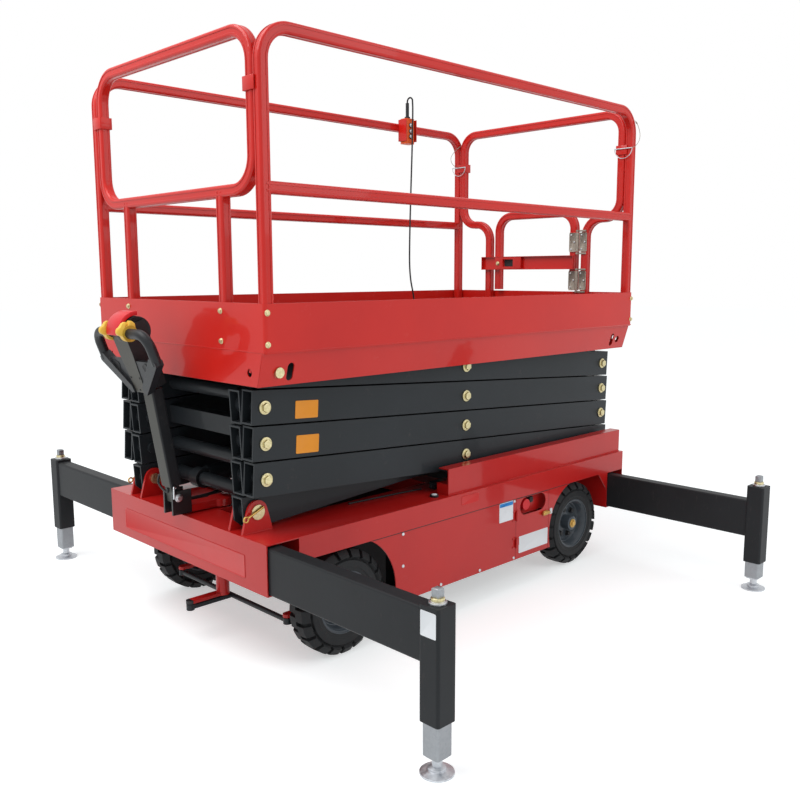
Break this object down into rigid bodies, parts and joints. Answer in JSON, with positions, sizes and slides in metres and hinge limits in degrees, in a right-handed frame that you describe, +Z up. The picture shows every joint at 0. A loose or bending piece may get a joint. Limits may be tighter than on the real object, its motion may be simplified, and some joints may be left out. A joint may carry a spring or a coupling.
{
  "type": "mobile scissor lift",
  "caption": "Towable scissor lift with a railed platform, stacked cross arms, steered tiller, wheels and pull-out outriggers with screw jacks.",
  "frame": {"origin": "on the ground under the middle of the whole machine, tiller included", "axes": "+X towards the tiller, +Y to the left, +Z up"},
  "size_m": [2.3328, 2.564, 2.2009],
  "materials": {
    "red_paint": null,
    "charcoal_paint": null,
    "galvanised": null,
    "zinc_pins": null,
    "tyre_rubber": null,
    "rim_paint": null,
    "grip_plastic": null,
    "head_plastic": null,
    "signal_red": null,
    "throttle_yellow": null,
    "pendant_orange": null,
    "cord_jacket": null,
    "hinge_steel": null
  },
  "bodies": {
    "chassis": {"chassis_frame": "red_paint", "side_panel_left": "red_paint", "side_panel_right": "red_paint", "belly_pan": "charcoal_paint", "power_pack": "charcoal_paint", "roller_tracks": "red_paint", "base_pins": "zinc_pins", "front_axle": "red_paint", "rear_axle": "red_paint", "emergency_stop": "signal_red"},
    "door": {"side_door": "red_paint"},
    "steering": {"drawbar": "red_paint"},
    "tiller": {"tiller_shaft": "charcoal_paint", "tiller_head": "head_plastic", "tiller_grips": "grip_plastic", "tiller_cap": "signal_red", "tiller_throttles": "throttle_yellow"},
    "knuckle_l": {"knuckle_left": "red_paint"},
    "knuckle_r": {"knuckle_right": "red_paint"},
    "tie": {"tie_rod": "charcoal_paint"},
    "barrels": {"lift_barrels": "charcoal_paint"},
    "rods": {"lift_rods": "galvanised"},
    "platform": {"platform_frame": "red_paint", "platform_deck": "charcoal_paint", "rail_left": "red_paint", "rail_right": "red_paint", "rail_front": "red_paint", "rail_rear": "red_paint", "platform_pins": "zinc_pins", "gate_hinges": "hinge_steel", "pendant_holder": "red_paint", "pendant": "pendant_orange", "pendant_boot": "grip_plastic", "pendant_cord": "cord_jacket"},
    "gate_leaf": {"gate": "red_paint"},
    "inner_1": {"inner_arm_1": "charcoal_paint"},
    "outer_1": {"outer_arm_1": "charcoal_paint", "base_rollers": "galvanised"},
    "inner_2": {"inner_arm_2": "charcoal_paint"},
    "outer_2": {"outer_arm_2": "charcoal_paint"},
    "inner_3": {"inner_arm_3": "charcoal_paint"},
    "outer_3": {"outer_arm_3": "charcoal_paint"},
    "inner_4": {"inner_arm_4": "charcoal_paint"},
    "outer_4": {"outer_arm_4": "charcoal_paint"},
    "wheel_fl": {"front_left_tyre": "tyre_rubber", "front_left_rim": "rim_paint"},
    "leg_fl": {"outrigger_front_left": "charcoal_paint"},
    "foot_fl": {"jack_front_left": "galvanised"},
    "wheel_fr": {"front_right_tyre": "tyre_rubber", "front_right_rim": "rim_paint"},
    "leg_fr": {"outrigger_front_right": "charcoal_paint"},
    "foot_fr": {"jack_front_right": "galvanised"},
    "wheel_rl": {"rear_left_tyre": "tyre_rubber", "rear_left_rim": "rim_paint"},
    "leg_rl": {"outrigger_rear_left": "charcoal_paint"},
    "foot_rl": {"jack_rear_left": "galvanised"},
    "wheel_rr": {"rear_right_tyre": "tyre_rubber", "rear_right_rim": "rim_paint"},
    "leg_rr": {"outrigger_rear_right": "charcoal_paint"},
    "foot_rr": {"jack_rear_right": "galvanised"}
  },
  "joints": [
    {"name": "lift", "type": "hinge", "parent": "chassis", "child": "inner_1", "pos_m": [0.87555, 0, 0.546], "axis": [0, 1, 0], "range_deg": [0, 53.53]},
    {"name": "scissor_1", "type": "hinge", "parent": "inner_1", "child": "outer_1", "pos_m": [-0.10444, 0, 0.6055], "axis": [0, 1, 0], "range_deg": [-107.55, 0.5]},
    {"name": "stage_2", "type": "hinge", "parent": "outer_1", "child": "inner_2", "pos_m": [0.87555, 0, 0.665], "axis": [0, 1, 0], "range_deg": [-0.5, 107.55]},
    {"name": "scissor_2", "type": "hinge", "parent": "inner_2", "child": "outer_2", "pos_m": [-0.10444, 0, 0.7245], "axis": [0, 1, 0], "range_deg": [-107.55, 0.5]},
    {"name": "stage_3", "type": "hinge", "parent": "outer_2", "child": "inner_3", "pos_m": [0.87555, 0, 0.784], "axis": [0, 1, 0], "range_deg": [-0.5, 107.55]},
    {"name": "scissor_3", "type": "hinge", "parent": "inner_3", "child": "outer_3", "pos_m": [-0.10444, 0, 0.8435], "axis": [0, 1, 0], "range_deg": [-107.55, 0.5]},
    {"name": "stage_4", "type": "hinge", "parent": "outer_3", "child": "inner_4", "pos_m": [0.87555, 0, 0.903], "axis": [0, 1, 0], "range_deg": [-0.5, 107.55]},
    {"name": "scissor_4", "type": "hinge", "parent": "inner_4", "child": "outer_4", "pos_m": [-0.10444, 0, 0.9625], "axis": [0, 1, 0], "range_deg": [-107.55, 0.5]},
    {"name": "platform_level", "type": "hinge", "parent": "outer_4", "child": "platform", "pos_m": [0.87555, 0, 1.022], "axis": [0, 1, 0], "range_deg": [-0.5, 54.03]},
    {"name": "barrel_swing", "type": "hinge", "parent": "inner_1", "child": "barrels", "pos_m": [0.75578, 0, 0.55327], "axis": [0, 1, 0], "range_deg": [-0.5, 13.51]},
    {"name": "rod_out", "type": "slide", "parent": "barrels", "child": "rods", "axis": [-0.9953, 0, 0.0972], "range_m": [-0.005, 1.50196]},
    {"name": "steer", "type": "hinge", "parent": "chassis", "child": "steering", "pos_m": [0.77555, 0, 0.19], "axis": [0, 0, 1], "range_deg": [-30, 30]},
    {"name": "knuckle_l_turn", "type": "hinge", "parent": "chassis", "child": "knuckle_l", "pos_m": [0.59955, 0.352, 0.19], "axis": [0, 0, 1], "range_deg": [-30.5, 30.5]},
    {"name": "knuckle_r_turn", "type": "hinge", "parent": "chassis", "child": "knuckle_r", "pos_m": [0.59955, -0.352, 0.19], "axis": [0, 0, 1], "range_deg": [-30.5, 30.5]},
    {"name": "tie_swing", "type": "hinge", "parent": "steering", "child": "tie", "pos_m": [0.91556, 0, 0.12], "axis": [0, 0, 1], "range_deg": [-30.5, 30.5]},
    {"name": "tiller_fold", "type": "hinge", "parent": "steering", "child": "tiller", "pos_m": [0.96456, 0, 0.545], "axis": [0, 1, 0], "range_deg": [0, 70]},
    {"name": "spin_fl", "type": "hinge", "parent": "knuckle_l", "child": "wheel_fl", "pos_m": [0.59955, 0.462, 0.19], "axis": [0, 1, 0], "continuous": true},
    {"name": "spin_fr", "type": "hinge", "parent": "knuckle_r", "child": "wheel_fr", "pos_m": [0.59955, -0.462, 0.19], "axis": [0, 1, 0], "continuous": true},
    {"name": "spin_rl", "type": "hinge", "parent": "chassis", "child": "wheel_rl", "pos_m": [-0.78045, 0.462, 0.19], "axis": [0, 1, 0], "continuous": true},
    {"name": "spin_rr", "type": "hinge", "parent": "chassis", "child": "wheel_rr", "pos_m": [-0.78045, -0.462, 0.19], "axis": [0, 1, 0], "continuous": true},
    {"name": "extend_fl", "type": "slide", "parent": "chassis", "child": "leg_fl", "axis": [0, 1, 0], "range_m": [-0.65, 0]},
    {"name": "jack_fl", "type": "slide", "parent": "leg_fl", "child": "foot_fl", "axis": [0, 0, 1], "range_m": [-0.05, 0.085]},
    {"name": "extend_fr", "type": "slide", "parent": "chassis", "child": "leg_fr", "axis": [0, -1, 0], "range_m": [-0.65, 0]},
    {"name": "jack_fr", "type": "slide", "parent": "leg_fr", "child": "foot_fr", "axis": [0, 0, 1], "range_m": [-0.05, 0.085]},
    {"name": "extend_rl", "type": "slide", "parent": "chassis", "child": "leg_rl", "axis": [0, 1, 0], "range_m": [-0.65, 0]},
    {"name": "jack_rl", "type": "slide", "parent": "leg_rl", "child": "foot_rl", "axis": [0, 0, 1], "range_m": [-0.05, 0.085]},
    {"name": "extend_rr", "type": "slide", "parent": "chassis", "child": "leg_rr", "axis": [0, -1, 0], "range_m": [-0.65, 0]},
    {"name": "jack_rr", "type": "slide", "parent": "leg_rr", "child": "foot_rr", "axis": [0, 0, 1], "range_m": [-0.05, 0.085]},
    {"name": "gate_swing", "type": "hinge", "parent": "platform", "child": "gate_leaf", "pos_m": [-1.10444, 0.2675, 1.492], "axis": [0, 0, 1], "range_deg": [0, 90]},
    {"name": "door_swing", "type": "hinge", "parent": "chassis", "child": "door", "pos_m": [-0.33344, 0.5283, 0.26], "axis": [0, 0, -1], "range_deg": [0, 100]}
  ],
  "couplings": [
    {"joint": "scissor_1", "follows": "lift", "ratio": -2},
    {"joint": "stage_2", "follows": "lift", "ratio": 2},
    {"joint": "scissor_2", "follows": "lift", "ratio": -2},
    {"joint": "stage_3", "follows": "lift", "ratio": 2},
    {"joint": "scissor_3", "follows": "lift", "ratio": -2},
    {"joint": "stage_4", "follows": "lift", "ratio": 2},
    {"joint": "scissor_4", "follows": "lift", "ratio": -2},
    {"joint": "platform_level", "follows": "lift", "ratio": 1},
    {"joint": "barrel_swing", "follows": "lift", "ratio": 0.24297},
    {"joint": "rod_out", "follows": "lift", "m_per_rad": 1.6024},
    {"joint": "knuckle_l_turn", "follows": "steer", "ratio": 1},
    {"joint": "knuckle_r_turn", "follows": "steer", "ratio": 1},
    {"joint": "tie_swing", "follows": "steer", "ratio": -1}
  ]
}
